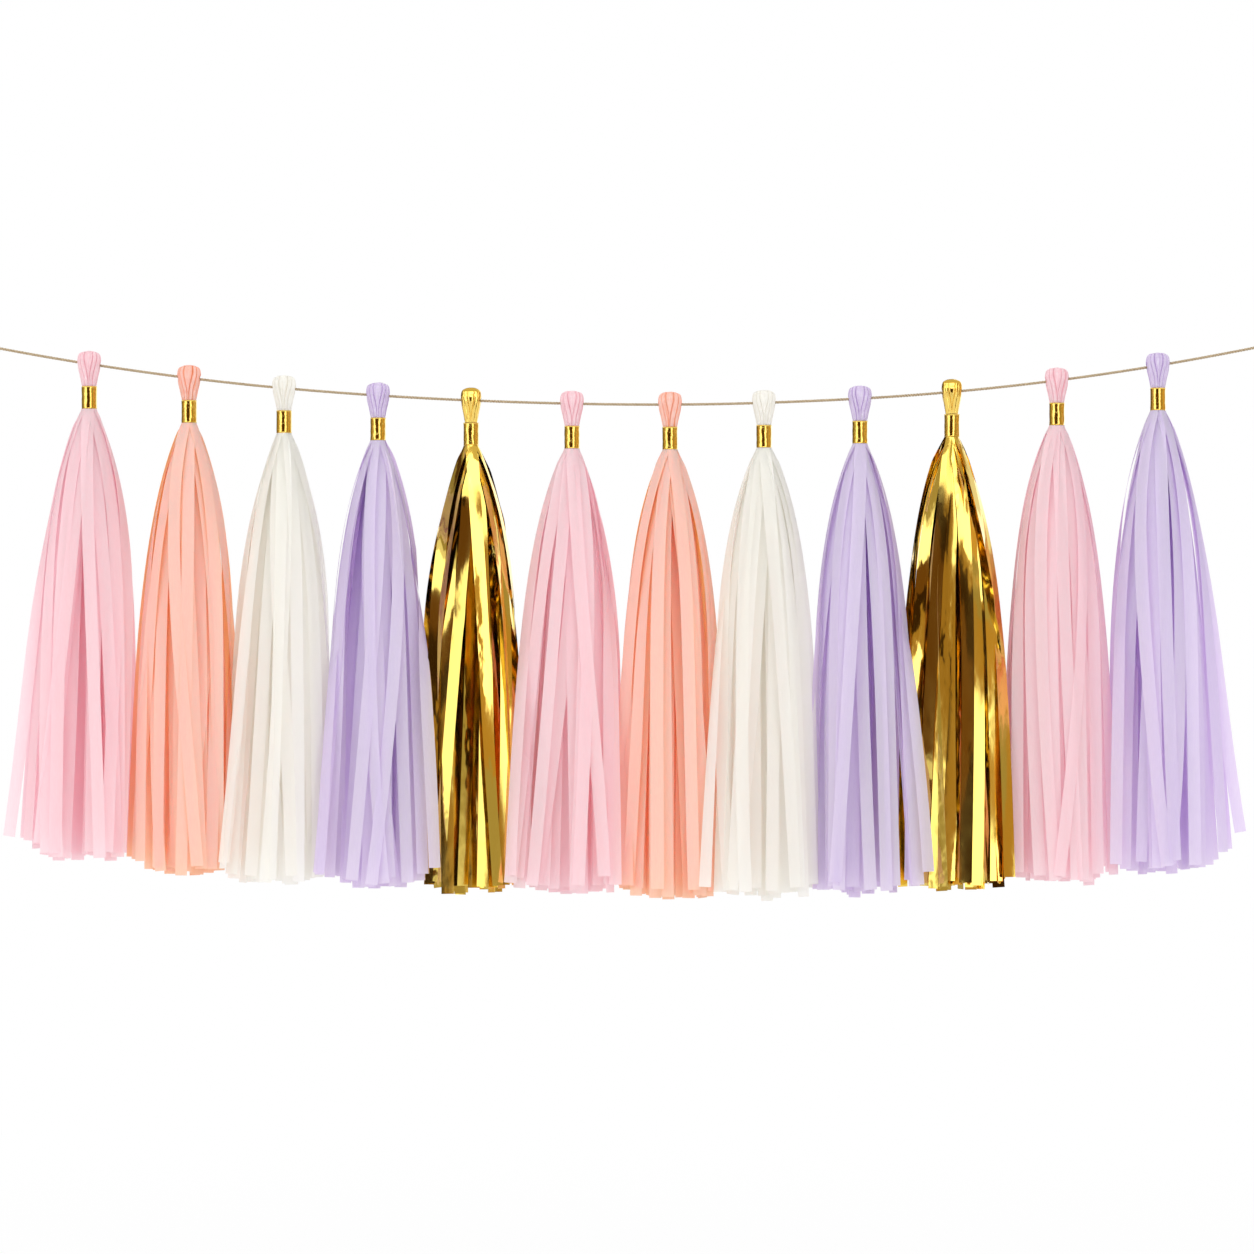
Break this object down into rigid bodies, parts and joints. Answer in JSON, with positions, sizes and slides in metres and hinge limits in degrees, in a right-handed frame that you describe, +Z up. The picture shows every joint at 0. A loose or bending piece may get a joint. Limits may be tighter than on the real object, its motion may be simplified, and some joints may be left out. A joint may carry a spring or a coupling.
{
  "type": "tassel garland",
  "caption": "Party garland of fringed tissue paper and gold foil tassels, each bound by a foil band and swinging on jute twine with a hanging loop at each end.",
  "frame": {"origin": "centre of the bend of the left hanging loop, where a nail or hook goes", "axes": "+X along the garland from the left loop to the right one, +Z up, the front faces -Y"},
  "size_m": [0.8139, 0.0706, 0.3381],
  "materials": {
    "pink_tissue": "matte",
    "peach_tissue": "matte",
    "ivory_tissue": "matte",
    "lilac_tissue": "matte",
    "gold_foil": "polished",
    "gold_band": "polished",
    "jute_twine": "matte"
  },
  "bodies": {
    "twine": {"twine_span": "jute_twine", "twine_knot_left": "jute_twine", "twine_knot_right": "jute_twine", "twine_loop_left": "jute_twine", "twine_loop_right": "jute_twine"},
    "tassel_01": {"tassel_01_head": "pink_tissue", "tassel_01_band": "gold_band", "tassel_01_skirt": "pink_tissue"},
    "tassel_02": {"tassel_02_head": "peach_tissue", "tassel_02_band": "gold_band", "tassel_02_skirt": "peach_tissue"},
    "tassel_03": {"tassel_03_head": "ivory_tissue", "tassel_03_band": "gold_band", "tassel_03_skirt": "ivory_tissue"},
    "tassel_04": {"tassel_04_head": "lilac_tissue", "tassel_04_band": "gold_band", "tassel_04_skirt": "lilac_tissue"},
    "tassel_05": {"tassel_05_head": "gold_foil", "tassel_05_band": "gold_band", "tassel_05_skirt": "gold_foil"},
    "tassel_06": {"tassel_06_head": "pink_tissue", "tassel_06_band": "gold_band", "tassel_06_skirt": "pink_tissue"},
    "tassel_07": {"tassel_07_head": "peach_tissue", "tassel_07_band": "gold_band", "tassel_07_skirt": "peach_tissue"},
    "tassel_08": {"tassel_08_head": "ivory_tissue", "tassel_08_band": "gold_band", "tassel_08_skirt": "ivory_tissue"},
    "tassel_09": {"tassel_09_head": "lilac_tissue", "tassel_09_band": "gold_band", "tassel_09_skirt": "lilac_tissue"},
    "tassel_10": {"tassel_10_head": "gold_foil", "tassel_10_band": "gold_band", "tassel_10_skirt": "gold_foil"},
    "tassel_11": {"tassel_11_head": "pink_tissue", "tassel_11_band": "gold_band", "tassel_11_skirt": "pink_tissue"},
    "tassel_12": {"tassel_12_head": "lilac_tissue", "tassel_12_band": "gold_band", "tassel_12_skirt": "lilac_tissue"}
  },
  "joints": [
    {"name": "tassel_01_swing", "type": "hinge", "parent": "twine", "child": "tassel_01", "pos_m": [0.0834, 0, -0.0151], "axis": [1, 0, 0], "range_deg": [-65, 65]},
    {"name": "tassel_02_swing", "type": "hinge", "parent": "twine", "child": "tassel_02", "pos_m": [0.14241, 0, -0.02339], "axis": [1, 0, 0], "range_deg": [-65, 65]},
    {"name": "tassel_03_swing", "type": "hinge", "parent": "twine", "child": "tassel_03", "pos_m": [0.19849, 0, -0.02941], "axis": [1, 0, 0], "range_deg": [-65, 65]},
    {"name": "tassel_04_swing", "type": "hinge", "parent": "twine", "child": "tassel_04", "pos_m": [0.25399, 0, -0.03371], "axis": [1, 0, 0], "range_deg": [-65, 65]},
    {"name": "tassel_05_swing", "type": "hinge", "parent": "twine", "child": "tassel_05", "pos_m": [0.30898, 0, -0.03665], "axis": [1, 0, 0], "range_deg": [-65, 65]},
    {"name": "tassel_06_swing", "type": "hinge", "parent": "twine", "child": "tassel_06", "pos_m": [0.36856, 0, -0.03856], "axis": [1, 0, 0], "range_deg": [-65, 65]},
    {"name": "tassel_07_swing", "type": "hinge", "parent": "twine", "child": "tassel_07", "pos_m": [0.42648, 0, -0.0391], "axis": [1, 0, 0], "range_deg": [-65, 65]},
    {"name": "tassel_08_swing", "type": "hinge", "parent": "twine", "child": "tassel_08", "pos_m": [0.48199, 0, -0.03806], "axis": [1, 0, 0], "range_deg": [-65, 65]},
    {"name": "tassel_09_swing", "type": "hinge", "parent": "twine", "child": "tassel_09", "pos_m": [0.5387, 0, -0.03557], "axis": [1, 0, 0], "range_deg": [-65, 65]},
    {"name": "tassel_10_swing", "type": "hinge", "parent": "twine", "child": "tassel_10", "pos_m": [0.593, 0, -0.03162], "axis": [1, 0, 0], "range_deg": [-65, 65]},
    {"name": "tassel_11_swing", "type": "hinge", "parent": "twine", "child": "tassel_11", "pos_m": [0.65499, 0, -0.02487], "axis": [1, 0, 0], "range_deg": [-65, 65]},
    {"name": "tassel_12_swing", "type": "hinge", "parent": "twine", "child": "tassel_12", "pos_m": [0.71469, 0, -0.01605], "axis": [1, 0, 0], "range_deg": [-65, 65]}
  ]
}
